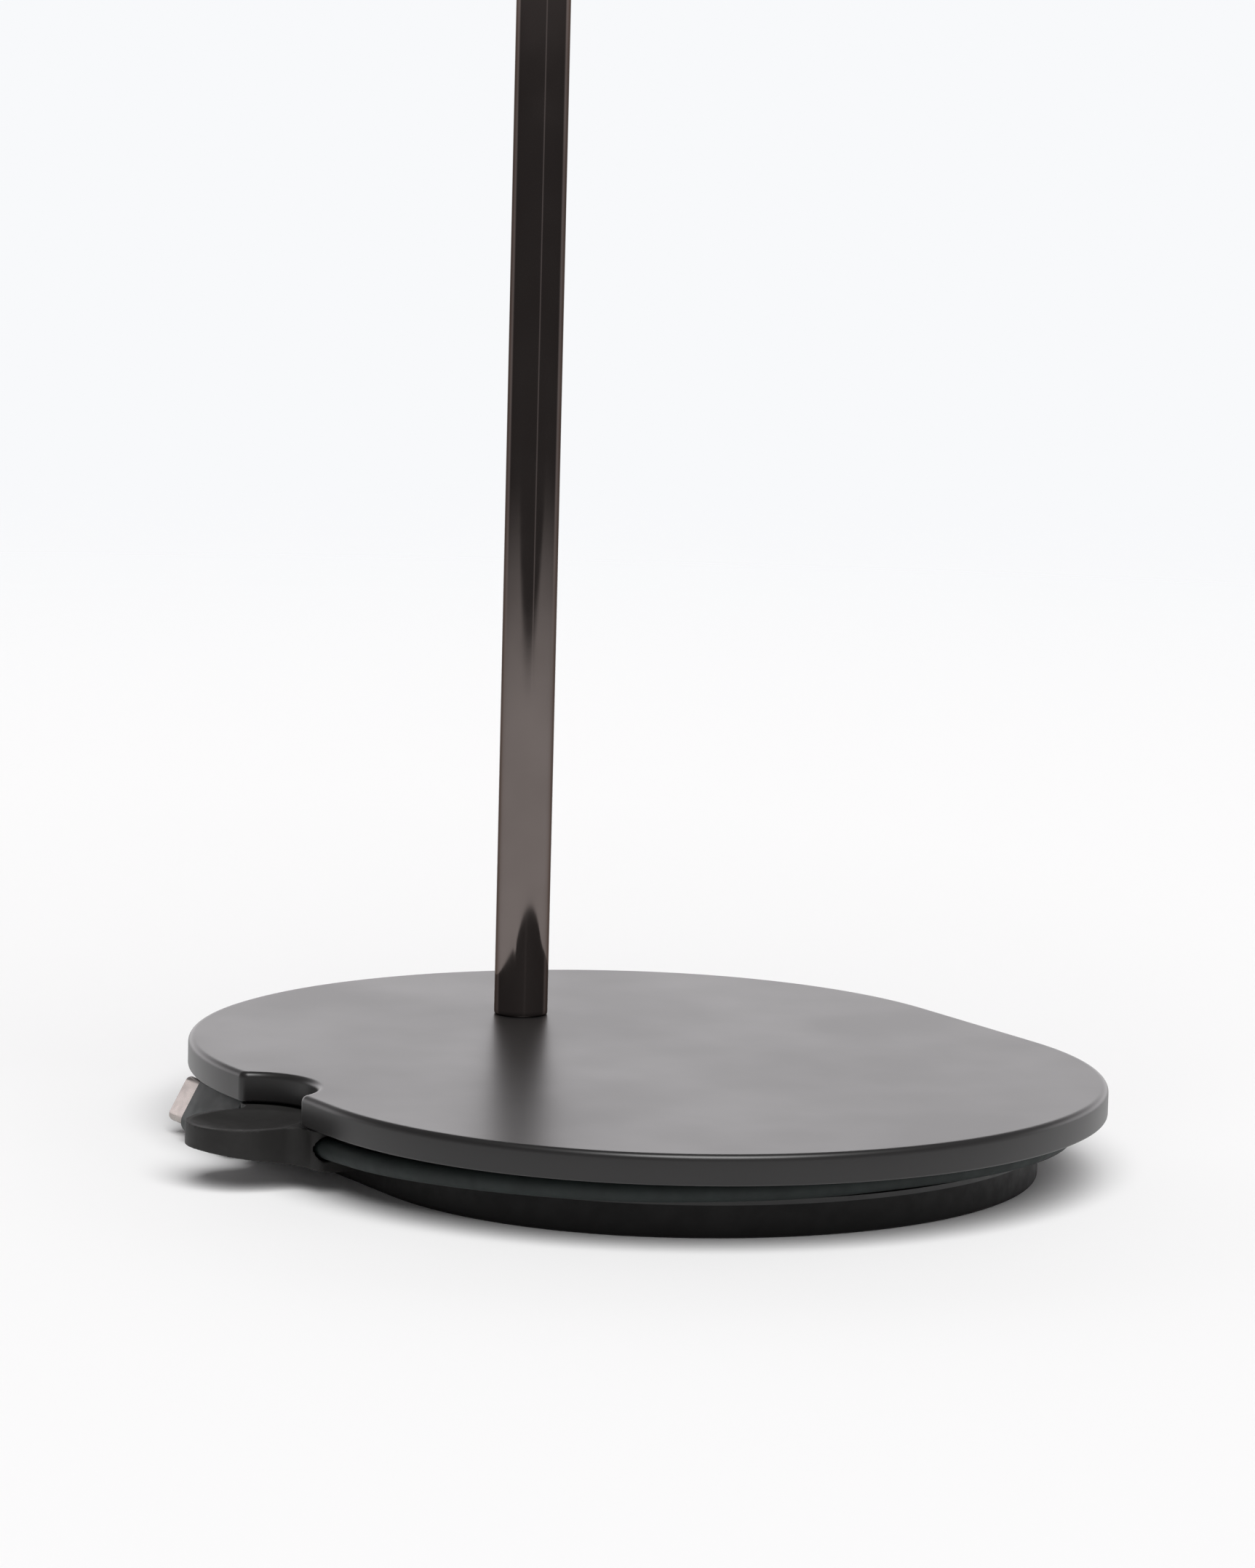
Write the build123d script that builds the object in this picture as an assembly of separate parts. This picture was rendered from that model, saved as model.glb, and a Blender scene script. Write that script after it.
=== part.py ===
from build123d import *
import os
from math import hypot, pi, radians, sqrt, tan

# A headphone stand: an oval steel base plate, a bent tube that rises behind its middle and ends in a
# short arm with a saddle for the headband, and a spool under the plate for a charging lead.
# Millimetres. The floor is z = 0, +Z is up, the front is -Y, and the origin is on the floor under the
# middle of the plate.

# --- driving dimensions ---------------------------------------------------------------------------
HALF_LENGTH = 84.2          # plate, along Y
HALF_WIDTH = 70.2           # plate, along X
END_RADIUS = 74.0           # arc across each end of the plate
CORNER_RADIUS = 65.0        # arcs between the ends and the straight sides
PLATE_UNDER = 11.0          # height of the plate's underside
PLATE_TOP = 16.0
PLATE_EDGE_ROUND = 1.1
PLATE_LOWER_ROUND = 0.4

SCOOP_X, SCOOP_Y = -73.9, 2.7  # finger scoop in the plate's left edge
SCOOP_RADIUS = 11.0
SCOOP_FRONT_ROUND, SCOOP_BACK_ROUND = 1.3, 1.3

FOOT_INSET = 11.5           # every inset is counted from the plate's outline
FOOT_TOP = 5.8
FLANGE_INSET = 10.0
FLANGE_TOP = 6.6
CORE_INSET = 25.5

CORD = 3.5                  # diameter of the charging lead
COIL_OUTER_INSET, COIL_INNER_INSET = 8.7, 19.0
COIL_BOTTOM, COIL_TOP = 6.7, 10.3

# The tab: a root block in the channel and a tongue that reaches out under the scoop.
TONGUE_Y = 1.6
ROOT_X = (-69.6, -62.0)
ROOT_Y = (-12.2, 15.8)
ROOT_Z = (3.5, 10.8)
KEY_X_END = -54.5           # the root's key reaches this far into the foot
KEY_Y, KEY_Z = (-9.0, 12.6), (3.5, 5.7)
TONGUE_TIP_X = -85.3
TONGUE_WIDTH = 17.7
TONGUE_TOP = 10.6
BORE_RADIUS = 2.1

# The outer plug lies beside the channel, turned on edge about its own axis.
PLUG_X, PLUG_Z = -65.9, 5.75
PLUG_TURN = 60.0            # degrees from lying flat
PLUG_START_Y = 18.4
PLUG_BODY = (10.5, 5.8, 18.0)  # width, thickness, length
PLUG_CORNER = 2.4
SHELL = (8.3, 2.5, 6.6)
SHELL_WALL = 0.3
RELIEF_RADIUS, RELIEF_TIP_RADIUS = 2.5, 1.85

# The inner plug lies flat in a pocket of the spool.
STOWED_X, STOWED_Z = -19.7, 7.7
STOWED_START_Y = 41.0
POCKET_X = (-26.0, -13.4)
POCKET_Y = (15.4, 61.0)
POCKET_FLOOR = 4.4

POLE_Y = 41.8               # the pole stands behind the plate's middle
TUBE_OUTER, TUBE_INNER = 9.5, 7.5
TUBE_FOOT_ROUND = 0.4
ARM_HEIGHT = 223.5          # axis of the arm
ARM_BEND = 24.0
ARM_END_Y = -50.0

SADDLE_TOP = 230.3          # apex of the cradle's metal core
SADDLE_RADIUS = 62.0
SADDLE_THICK = 3.2
SADDLE_HALF_WIDTH = 32.0
SADDLE_Y = (-45.0, -9.0)
COVER_THICK = 2.7
COVER_WALL = 1.9
LIP_HEIGHT, LIP_THICK, LIP_ROUND = 3.5, 2.4, 0.9
GAP = 0.15                  # ease between parts that fit round each other
PRESS_GAP = 0.05            # ease between parts that are pressed or drawn together
PAST = 1.0                  # a cut reaches this far past the face that it opens

SPOOL_SCREWS = [(-34, 24), (34, 24), (-28, -32), (28, -32)]
CRADLE_SCREWS_Y = [-37.0, -17.0]

os.makedirs("parts", exist_ok=True)


def save(shape, node):
    export_step(shape, f"parts/{node}.step")


def rod(x, y, z_low, z_high, radius):
    """An upright cylinder."""
    return Pos(x, y, z_low) * Cylinder(radius, z_high - z_low, align=(Align.CENTER, Align.CENTER, Align.MIN))


def rod_y(x, z, y_low, y_high, radius):
    """A cylinder along Y."""
    return Pos(x, y_high, z) * Rot(90, 0, 0) * Cylinder(
        radius, y_high - y_low, align=(Align.CENTER, Align.CENTER, Align.MIN)
    )


def block(x, y, z):
    """A box from three (low, high) pairs."""
    size = [high - low for low, high in (x, y, z)]
    return Pos(x[0], y[0], z[0]) * Box(*size, align=(Align.MIN, Align.MIN, Align.MIN))


def ring_of(shape, *heights):
    """The edges of a shape that lie at the given heights."""
    return [e for z in heights for e in shape.edges().filter_by_position(Axis.Z, z - 0.01, z + 0.01)]


def oval_slab(inset, z_low, z_high):
    """The plate's outline moved inwards, as a slab: two end arcs, four corner arcs, two straight sides."""
    reach = END_RADIUS - CORNER_RADIUS
    end_y = HALF_LENGTH - END_RADIUS
    corner_x = HALF_WIDTH - CORNER_RADIUS
    corner_y = end_y + sqrt(reach**2 - corner_x**2)
    end_r, corner_r, side = END_RADIUS - inset, CORNER_RADIUS - inset, HALF_WIDTH - inset
    # The end arc meets the corner arc on the line through their two centres.
    lean_x, lean_y = corner_x / reach, (corner_y - end_y) / reach
    joint_x, joint_y = end_r * lean_x, end_y + end_r * lean_y
    half = hypot(lean_x + 1, lean_y)
    mid_x, mid_y = corner_x + corner_r * (lean_x + 1) / half, corner_y + corner_r * lean_y / half
    outline = Curve() + [
        ThreePointArc((-joint_x, joint_y), (0, end_y + end_r), (joint_x, joint_y)),
        ThreePointArc((joint_x, joint_y), (mid_x, mid_y), (side, corner_y)),
        Line((side, corner_y), (side, -corner_y)),
        ThreePointArc((side, -corner_y), (mid_x, -mid_y), (joint_x, -joint_y)),
        ThreePointArc((joint_x, -joint_y), (0, -end_y - end_r), (-joint_x, -joint_y)),
        ThreePointArc((-joint_x, -joint_y), (-mid_x, -mid_y), (-side, -corner_y)),
        Line((-side, -corner_y), (-side, corner_y)),
        ThreePointArc((-side, corner_y), (-mid_x, mid_y), (-joint_x, joint_y)),
    ]
    return extrude(Pos(0, 0, z_low) * make_face(outline), z_high - z_low)


# --- base plate -----------------------------------------------------------------------------------
POLE_HOLE_RADIUS = 2.75
SPOOL_TAP_RADIUS, SPOOL_TAP_TOP = 1.5, 15.0

plate = oval_slab(0, PLATE_UNDER, PLATE_TOP)
plate -= rod(SCOOP_X, SCOOP_Y, PLATE_UNDER - PAST, PLATE_TOP + PAST, SCOOP_RADIUS)
half_mouth = sqrt(SCOOP_RADIUS**2 - (HALF_WIDTH + SCOOP_X) ** 2)
for side, corner_round in ((-1, SCOOP_FRONT_ROUND), (1, SCOOP_BACK_ROUND)):
    corner_y = SCOOP_Y + side * half_mouth
    corner = [
        e for e in plate.edges().filter_by(Axis.Z)
        if hypot(e.center().X + HALF_WIDTH, e.center().Y - corner_y) < 0.1
    ]
    plate = fillet(corner, corner_round)
plate = fillet(ring_of(plate, PLATE_TOP), PLATE_EDGE_ROUND)
plate = fillet(ring_of(plate, PLATE_UNDER), PLATE_LOWER_ROUND)
plate -= rod(0, POLE_Y, PLATE_UNDER - PAST, PLATE_TOP + PAST, POLE_HOLE_RADIUS)
for x, y in SPOOL_SCREWS:
    plate -= rod(x, y, PLATE_UNDER - PAST, SPOOL_TAP_TOP, SPOOL_TAP_RADIUS)
save(plate, "base_plate")


# --- foot pad and spool ---------------------------------------------------------------------------
FOOT_ROUND = 0.8
SCREW_HEAD_RADIUS, SCREW_HEAD_TALL, SCREW_CLEAR_RADIUS = 3.0, 1.6, 1.7
HEAD_POCKET_RADIUS = 6.6


def countersink(x, y):
    """The clearance hole of a spool screw, with its cone opening downwards."""
    cone = Pos(x, y, FOOT_TOP) * Cone(
        SCREW_HEAD_RADIUS + GAP, SCREW_CLEAR_RADIUS, SCREW_HEAD_TALL,
        align=(Align.CENTER, Align.CENTER, Align.MIN),
    )
    return cone + rod(x, y, FOOT_TOP, PLATE_UNDER + PAST, SCREW_CLEAR_RADIUS)


foot = oval_slab(FOOT_INSET, 0, FOOT_TOP)
foot = fillet(ring_of(foot, 0), FOOT_ROUND)
foot -= block(POCKET_X, POCKET_Y, (POCKET_FLOOR, FOOT_TOP + PAST))
key_slot_y = (KEY_Y[0] - GAP, KEY_Y[1] + GAP)
foot -= block((-HALF_WIDTH, KEY_X_END + GAP), key_slot_y, (KEY_Z[0] - PRESS_GAP, FOOT_TOP + PAST))
save(foot, "foot_pad")

flange = oval_slab(FLANGE_INSET, FOOT_TOP, FLANGE_TOP)
flange -= block(POCKET_X, POCKET_Y, (FOOT_TOP - PAST, FLANGE_TOP + PAST))
core = oval_slab(CORE_INSET, FLANGE_TOP, PLATE_UNDER)
core -= block(POCKET_X, POCKET_Y, (FLANGE_TOP - PAST, PLATE_UNDER + PAST))
core -= rod(0, POLE_Y, FLANGE_TOP - PAST, PLATE_UNDER + PAST, HEAD_POCKET_RADIUS)
for x, y in SPOOL_SCREWS:
    flange -= countersink(x, y)
    core -= countersink(x, y)
save(flange, "spool_flange")
save(core, "spool_core")

SCREW_RADIUS, SCREW_TIP = 1.45, 14.6
HEX_RADIUS, HEX_DEEP = 1.2, 0.9
screws = []
for x, y in SPOOL_SCREWS:
    head = Pos(x, y, FOOT_TOP + PRESS_GAP) * Cone(
        SCREW_HEAD_RADIUS, SCREW_RADIUS, SCREW_HEAD_TALL, align=(Align.CENTER, Align.CENTER, Align.MIN)
    )
    socket = extrude(Pos(x, y, FOOT_TOP) * RegularPolygon(HEX_RADIUS, 6), HEX_DEEP)
    screws.append(head + rod(x, y, FOOT_TOP + PAST, SCREW_TIP, SCREW_RADIUS) - socket)
save(Compound(screws), "spool_screws")


# --- cable tab ------------------------------------------------------------------------------------
# The lead runs through the root along this line, from the channel's side to the plug's side.
BORE_FRONT = Vector(-67.2, -12.2, 7.6)
BORE_BACK = Vector(-66.2, 15.8, 6.2)
ROOT_CORNER = 3.0
TONGUE_TIP_UNDER = 6.8      # the tongue thickens from its tip to its hinge
TONGUE_HINGE = ((-70.6, 10.4), (-70.6, 7.5), (-71.3, 4.4))
DISH_RADIUS, DISH_DEEP = 6.9, 1.3


def along(start, end, radius, extra):
    """A cylinder round the line from start to end, made longer at each end."""
    way = (end - start).normalized()
    plane = Plane(origin=start - way * extra, z_dir=way)
    tall = (end - start).length + 2 * extra
    return plane * Cylinder(radius, tall, align=(Align.CENTER, Align.CENTER, Align.MIN))


root = block(ROOT_X, ROOT_Y, ROOT_Z)
root = fillet([e for e in root.edges().filter_by(Axis.Z) if e.center().X < ROOT_X[0] + 1], ROOT_CORNER)
root += block((ROOT_X[1] - PAST, KEY_X_END), KEY_Y, KEY_Z)
root -= along(BORE_FRONT, BORE_BACK, BORE_RADIUS, 2 * PAST)
save(root, "tab_root")

tongue_side = Polyline((TONGUE_TIP_X, TONGUE_TIP_UNDER), (TONGUE_TIP_X, TONGUE_TOP), *TONGUE_HINGE, close=True)
half_tongue = TONGUE_WIDTH / 2
tongue = extrude(Plane.XZ.offset(-TONGUE_Y - half_tongue) * make_face(tongue_side), TONGUE_WIDTH)
tongue_y = (TONGUE_Y - half_tongue, TONGUE_Y + half_tongue)
stadium = rod(TONGUE_TIP_X + half_tongue, TONGUE_Y, 0, TONGUE_TOP + PAST, half_tongue)
stadium += block((TONGUE_TIP_X + half_tongue, ROOT_X[1]), tongue_y, (0, TONGUE_TOP + PAST))
tongue &= stadium
dish_sphere = (DISH_RADIUS**2 + DISH_DEEP**2) / (2 * DISH_DEEP)
tongue -= Pos(TONGUE_TIP_X + half_tongue, TONGUE_Y, TONGUE_TOP - DISH_DEEP + dish_sphere) * Sphere(dish_sphere)
save(tongue, "cable_tab")


# --- plugs ----------------------------------------------------------------------------------------
BODY_ROUND = 0.8
BOARD_WIDE, BOARD_THICK, BOARD_BACK = 6.4, 0.7, 1.0  # the board ends this far inside the shell's mouth
ROUND_END = 0.01            # a full round is this much less than half the thickness
# The lead leaves the relief at its start and runs straight to the channel's side of the tab's root.
LEAD_START = Vector(-66.2, 16.0, 6.2)
LEAD_TAB = Vector(-67.2, -12.5, 7.6)


def plug(place):
    """A USB-C plug along its own +Y from y = 0, lying flat: its body, its shell and its contact board."""
    wide, thick, long = PLUG_BODY
    upright = Rot(-90, 0, 0)
    body = upright * extrude(RectangleRounded(wide, thick, PLUG_CORNER), long)
    ends = [e for y in (0, long) for e in body.edges().filter_by_position(Axis.Y, y - 0.01, y + 0.01)]
    body = fillet(ends, BODY_ROUND)
    shell_wide, shell_thick, shell_long = SHELL
    outer = RectangleRounded(shell_wide, shell_thick, shell_thick / 2 - ROUND_END)
    inner_thick = shell_thick - 2 * SHELL_WALL
    inner = RectangleRounded(shell_wide - 2 * SHELL_WALL, inner_thick, inner_thick / 2 - ROUND_END)
    shell = extrude(outer, shell_long) - Pos(0, 0, SHELL_WALL) * extrude(inner, shell_long)
    board = Pos(0, 0, SHELL_WALL) * extrude(Rectangle(BOARD_WIDE, BOARD_THICK), shell_long - BOARD_BACK)
    front = Pos(0, long, 0) * upright
    return [place * body, place * front * shell, place * front * board]


outer_place = Pos(PLUG_X, PLUG_START_Y, PLUG_Z) * Rot(0, -PLUG_TURN, 0)
for part, name in zip(plug(outer_place), ("plug_body", "plug_shell", "plug_contacts")):
    save(part, name)

relief_front = Plane(origin=LEAD_START, z_dir=LEAD_START - LEAD_TAB) * Circle(RELIEF_TIP_RADIUS)
relief_back = Plane(origin=(PLUG_X, PLUG_START_Y, PLUG_Z), z_dir=(0, 1, 0)) * Circle(RELIEF_RADIUS)
save(loft([relief_front, relief_back]), "plug_relief")

stowed_place = Pos(STOWED_X, STOWED_START_Y, STOWED_Z) * Rot(0, 0, 180)
for part, name in zip(plug(stowed_place), ("inner_plug_body", "inner_plug_shell", "inner_plug_contacts")):
    save(part, name)
STOWED_RELIEF = 4.0
relief = Pos(STOWED_X, STOWED_START_Y, STOWED_Z) * Rot(-90, 0, 0) * Cone(
    RELIEF_RADIUS, RELIEF_TIP_RADIUS, STOWED_RELIEF, align=(Align.CENTER, Align.CENTER, Align.MIN)
)
save(relief, "inner_plug_relief")


# --- charging lead --------------------------------------------------------------------------------
RUN_SHARE = 0.45            # a corner's arc takes up to this share of the run beside it


def tube(route, node):
    """A round tube of straight runs joined by tangent arcs."""
    points = [Vector(*p) for p in route]
    runs = [b - a for a, b in zip(points, points[1:])]
    radii = []
    for one, two in zip(runs, runs[1:]):
        turn = one.get_angle(two)
        radii.append(RUN_SHARE * min(one.length, two.length) / tan(radians(turn) / 2))
    path = FilletPolyline(*points, radius=radii)
    section = Plane(origin=points[0], z_dir=runs[0]) * Circle(CORD / 2)
    solid = sweep(section, path=path)
    expected = pi * (CORD / 2) ** 2 * path.length
    print(node, "radii", [round(r, 1) for r in radii], "length", round(path.length, 1),
          "volume", round(solid.volume, 1), "expected", round(expected, 1))
    save(solid, node)


# From the plug through the tab's root and along the channel, into the coil.
lead_route = [
    LEAD_START, LEAD_TAB, (-66.2, -25.5, 7.8), (-62.2, -37.5, 8.1),
    (-56.0, -49.0, 8.4), (-47.0, -59.0, 8.45), (-37.0, -66.0, 8.45),
]
# From the innermost turn of the coil into the pocket, to the stowed plug's relief.
tail_route = [
    (4.0, 66.3, 8.45), (-6.0, 66.3, 8.5), (-14.7, 61.3, 8.4), (STOWED_X, 52.6, STOWED_Z),
    (STOWED_X, STOWED_START_Y + STOWED_RELIEF, STOWED_Z),
]
tube(lead_route, "cable_lead")
tube(tail_route, "cable_tail")

coil = oval_slab(COIL_OUTER_INSET, COIL_BOTTOM, COIL_TOP)
coil -= oval_slab(COIL_INNER_INSET, COIL_BOTTOM - PAST, COIL_TOP + PAST)
save(coil, "cable_winding")


# --- pole -----------------------------------------------------------------------------------------
INSERT_LENGTH, INSERT_CEILING, INSERT_GAP = 16.0, 2.0, 0.02
SCREW_SHANK_RADIUS, SHANK_TOP = 2.5, 28.0
WASHER_RADIUS, WASHER_THICK = 5.5, 1.1
HEAD_RADIUS, HEAD_TALL = 4.75, 2.8
HEAD_HEX, HEAD_HEX_DEEP = 1.7, 1.5
CAP_THICK, CAP_SPIGOT, CAP_ROUND = 1.6, 3.5, 0.8

arm_path = FilletPolyline(
    (0, POLE_Y, PLATE_TOP), (0, POLE_Y, ARM_HEIGHT), (0, ARM_END_Y, ARM_HEIGHT), radius=ARM_BEND
)
foot_plane = Plane(origin=(0, POLE_Y, PLATE_TOP), z_dir=(0, 0, 1))
pole = sweep(foot_plane * Circle(TUBE_OUTER / 2), path=arm_path)
pole -= sweep(foot_plane * Circle(TUBE_INNER / 2), path=arm_path)
outer_foot = max(ring_of(pole, PLATE_TOP), key=lambda e: e.length)
pole = fillet(outer_foot, TUBE_FOOT_ROUND)
CRADLE_HOLE_RADIUS = 2.1
for y in CRADLE_SCREWS_Y:
    pole -= rod(0, y, ARM_HEIGHT, ARM_HEIGHT + TUBE_OUTER, CRADLE_HOLE_RADIUS)
save(pole, "pole")

insert_radius = TUBE_INNER / 2 - INSERT_GAP
insert = rod(0, POLE_Y, PLATE_TOP, PLATE_TOP + INSERT_LENGTH, insert_radius)
insert_ceiling = PLATE_TOP + INSERT_LENGTH - INSERT_CEILING
insert -= rod(0, POLE_Y, PLATE_TOP - PAST, insert_ceiling, SCREW_SHANK_RADIUS + PRESS_GAP)
save(insert, "pole_insert")

washer_bottom = PLATE_UNDER - WASHER_THICK
washer = rod(0, POLE_Y, washer_bottom, PLATE_UNDER, WASHER_RADIUS)
washer -= rod(0, POLE_Y, washer_bottom - PAST, PLATE_UNDER + PAST, SCREW_SHANK_RADIUS + GAP)
save(washer, "pole_washer")

pole_screw = rod(0, POLE_Y, washer_bottom - HEAD_TALL, washer_bottom, HEAD_RADIUS)
pole_screw += rod(0, POLE_Y, washer_bottom, SHANK_TOP, SCREW_SHANK_RADIUS)
pole_screw -= extrude(Pos(0, POLE_Y, washer_bottom - HEAD_TALL) * RegularPolygon(HEAD_HEX, 6), HEAD_HEX_DEEP)
save(pole_screw, "pole_screw")

cap = rod_y(0, ARM_HEIGHT, ARM_END_Y - CAP_THICK, ARM_END_Y, TUBE_OUTER / 2)
cap = fillet(cap.edges().sort_by(Axis.Y)[0], CAP_ROUND)
cap += rod_y(0, ARM_HEIGHT, ARM_END_Y, ARM_END_Y + CAP_SPIGOT, insert_radius)
save(cap, "arm_end_cap")


# --- cradle ---------------------------------------------------------------------------------------
ARC_CENTRE = SADDLE_TOP - SADDLE_RADIUS
HUB_HALF_WIDTH, HUB_BOTTOM = 8.5, 222.0
NUT_LENGTH = 8.0
CRADLE_SHANK_RADIUS, CRADLE_SHANK_BOTTOM = 1.95, 220.6
CRADLE_HEAD_RADIUS, CRADLE_HEAD_TALL, CRADLE_HEAD_SUNK = 3.8, 1.8, 0.1
SEAT_GAP = 0.3
ROOM_PAST = 5.0             # the arm's room reaches this far past the hub


def arch(inner, outer, half_width, y):
    """The part of a ring along Y that lies above the arc's centre, between two upright sides."""
    past_y = (y[0] - PAST, y[1] + PAST)
    shape = rod_y(0, ARC_CENTRE, *y, outer) - rod_y(0, ARC_CENTRE, *past_y, inner)
    return shape & block((-half_width, half_width), past_y, (ARC_CENTRE + inner / 2, ARC_CENTRE + outer + PAST))


saddle_inner = SADDLE_RADIUS - SADDLE_THICK
cradle = arch(saddle_inner, SADDLE_RADIUS, SADDLE_HALF_WIDTH, SADDLE_Y)
hub = block((-HUB_HALF_WIDTH, HUB_HALF_WIDTH), SADDLE_Y, (HUB_BOTTOM, SADDLE_TOP))
hub &= rod_y(0, ARC_CENTRE, *SADDLE_Y, SADDLE_RADIUS - SADDLE_THICK / 2)
cradle += hub
room_y = (SADDLE_Y[0] - ROOM_PAST, SADDLE_Y[1] + ROOM_PAST)
arm_room = rod_y(0, ARM_HEIGHT, *room_y, TUBE_OUTER / 2 + GAP)
arm_room += block((-TUBE_OUTER / 2 - GAP, TUBE_OUTER / 2 + GAP), room_y, (HUB_BOTTOM - ROOM_PAST, ARM_HEIGHT))
cradle -= arm_room
cradle_screws, cradle_nuts = [], []
for y in CRADLE_SCREWS_Y:
    head_low = SADDLE_TOP - CRADLE_HEAD_SUNK - CRADLE_HEAD_TALL
    seat = Pos(0, y, head_low) * Cone(
        CRADLE_SHANK_RADIUS + SEAT_GAP, CRADLE_HEAD_RADIUS + SEAT_GAP, CRADLE_HEAD_TALL + 2 * CRADLE_HEAD_SUNK,
        align=(Align.CENTER, Align.CENTER, Align.MIN),
    )
    cradle -= seat + rod(0, y, ARM_HEIGHT, head_low + CRADLE_HEAD_SUNK, CRADLE_SHANK_RADIUS + GAP)
    head = Pos(0, y, head_low) * Cone(
        CRADLE_SHANK_RADIUS, CRADLE_HEAD_RADIUS, CRADLE_HEAD_TALL,
        align=(Align.CENTER, Align.CENTER, Align.MIN),
    )
    shank = rod(0, y, CRADLE_SHANK_BOTTOM, head_low + CRADLE_HEAD_SUNK, CRADLE_SHANK_RADIUS)
    cradle_screws.append(head + shank)
    nut = rod_y(0, ARM_HEIGHT, y - NUT_LENGTH / 2, y + NUT_LENGTH / 2, insert_radius)
    nut -= rod(0, y, ARM_HEIGHT - TUBE_OUTER, ARM_HEIGHT + TUBE_OUTER, CRADLE_SHANK_RADIUS + PRESS_GAP)
    cradle_nuts.append(nut)
save(cradle, "cradle_core")
save(Compound(cradle_screws), "cradle_screws")
save(Compound(cradle_nuts), "cradle_nuts")

# The cover wraps the core's top and sides, with a lip along its front and back.
cover_y = (SADDLE_Y[0] - COVER_WALL, SADDLE_Y[1] + COVER_WALL)
cover_half = SADDLE_HALF_WIDTH + COVER_WALL
cover_top = SADDLE_RADIUS + COVER_THICK
cover = arch(saddle_inner, cover_top, cover_half, cover_y)
for lip in ((cover_y[0], cover_y[0] + LIP_THICK), (cover_y[1] - LIP_THICK, cover_y[1])):
    cover += arch(cover_top - PAST, cover_top + LIP_HEIGHT, cover_half, lip)
lip_edges = [e for e in cover.edges().filter_by(GeomType.CIRCLE) if e.radius > cover_top + LIP_HEIGHT / 2]
cover = fillet(lip_edges, LIP_ROUND)
cover -= arch(
    saddle_inner - PAST, SADDLE_RADIUS + PRESS_GAP, SADDLE_HALF_WIDTH + PRESS_GAP,
    (SADDLE_Y[0] - PRESS_GAP, SADDLE_Y[1] + PRESS_GAP),
)
cover -= arm_room
save(cover, "cradle_cover")
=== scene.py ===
# A headphone stand: an oval steel base, a bent tube with a saddle for the headband, and a spool under
# the base that stores a charging lead. Metres in the row frame; sizes are written in millimetres.
from math import asin, atan2, copysign, cos, degrees, pi, radians, sin, sqrt

import bmesh
import bpy
from mathutils import Matrix, Quaternion, Vector


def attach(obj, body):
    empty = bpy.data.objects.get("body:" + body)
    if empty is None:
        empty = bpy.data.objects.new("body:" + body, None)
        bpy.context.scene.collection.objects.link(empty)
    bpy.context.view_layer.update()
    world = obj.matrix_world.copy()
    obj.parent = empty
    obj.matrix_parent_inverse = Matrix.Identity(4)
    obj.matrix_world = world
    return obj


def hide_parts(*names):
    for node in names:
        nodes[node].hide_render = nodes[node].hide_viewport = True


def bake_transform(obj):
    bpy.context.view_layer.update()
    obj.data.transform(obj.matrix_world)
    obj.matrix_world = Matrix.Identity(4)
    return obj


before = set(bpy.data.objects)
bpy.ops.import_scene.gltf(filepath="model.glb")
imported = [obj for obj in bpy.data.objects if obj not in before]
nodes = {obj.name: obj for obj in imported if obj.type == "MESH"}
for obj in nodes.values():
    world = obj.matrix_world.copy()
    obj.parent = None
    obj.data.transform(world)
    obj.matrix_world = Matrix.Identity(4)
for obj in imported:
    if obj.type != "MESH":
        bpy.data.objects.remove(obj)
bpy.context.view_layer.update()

MM = 0.001


# --- camera ---------------------------------------------------------------------------------------
# A long lens in front of the stand and to its left, a little above the plate, looking slightly down.
CAMERA_PLACE = (-0.48855, -0.79817, 0.19559)
CAMERA_TURN, CAMERA_DIP, CAMERA_ROLL = radians(31.24), radians(8.087), radians(1.457)
CAMERA_LENS = 127.7
ahead = Vector((sin(CAMERA_TURN), cos(CAMERA_TURN), 0))
look = ahead * cos(CAMERA_DIP) - Vector((0, 0, sin(CAMERA_DIP)))

bpy.ops.object.select_all(action="DESELECT")
bpy.ops.object.camera_add(location=CAMERA_PLACE)
camera = bpy.context.object
camera.rotation_mode = "QUATERNION"
camera.rotation_quaternion = look.to_track_quat("-Z", "Y") @ Quaternion((0, 0, 1), CAMERA_ROLL)
camera.data.sensor_width = 36
camera.data.lens = CAMERA_LENS
bpy.context.scene.camera = camera
bpy.context.scene.view_settings.view_transform = "Standard"


# --- charging lead --------------------------------------------------------------------------------
# A thin USB lead in a matt black TPE jacket, 3.5 mm across. It leaves the plug at the left, passes
# through the tab's root, winds two and a half turns round the spool and ends in a plug stowed inside.
END_RADIUS, END_CENTRE = 74, 10.2             # the plate's outline: an arc across each end,
CORNER_RADIUS, CORNER_X, CORNER_Y = 65, 5.2, 17.55  # an arc at each corner, and straight sides
END_LEAN = CORNER_X / (END_RADIUS - CORNER_RADIUS)  # sine of the turn where the two arcs meet
LEAD_THICK, COIL_HEIGHT = 3.5, 8.45
COIL_FIRST_TURN, COIL_LAST_TURN, COIL_STEP = 255, 1155, 15  # degrees from +X
OUTER_INSET = 5.0                             # the first turn lies loose, near the plate's edge
TURN_PITCH = 3.6                              # each turn lies this much further in
DRAWN_IN = 3.0                                # drawn in behind the tab, from the right side to the back
SAG_TURN, SAG_HALF_TURN = 2, 42               # the front of each turn sags inwards round this place
FIRST_SAG, LATER_SAG = 4.6, 1.9


def srgb(code):
    """A linear colour from an sRGB hex value."""
    parts = [int(code[i:i + 2], 16) / 255 for i in (1, 3, 5)]
    return [c / 12.92 if c <= 0.04045 else ((c + 0.055) / 1.055) ** 2.4 for c in parts] + [1]


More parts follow.
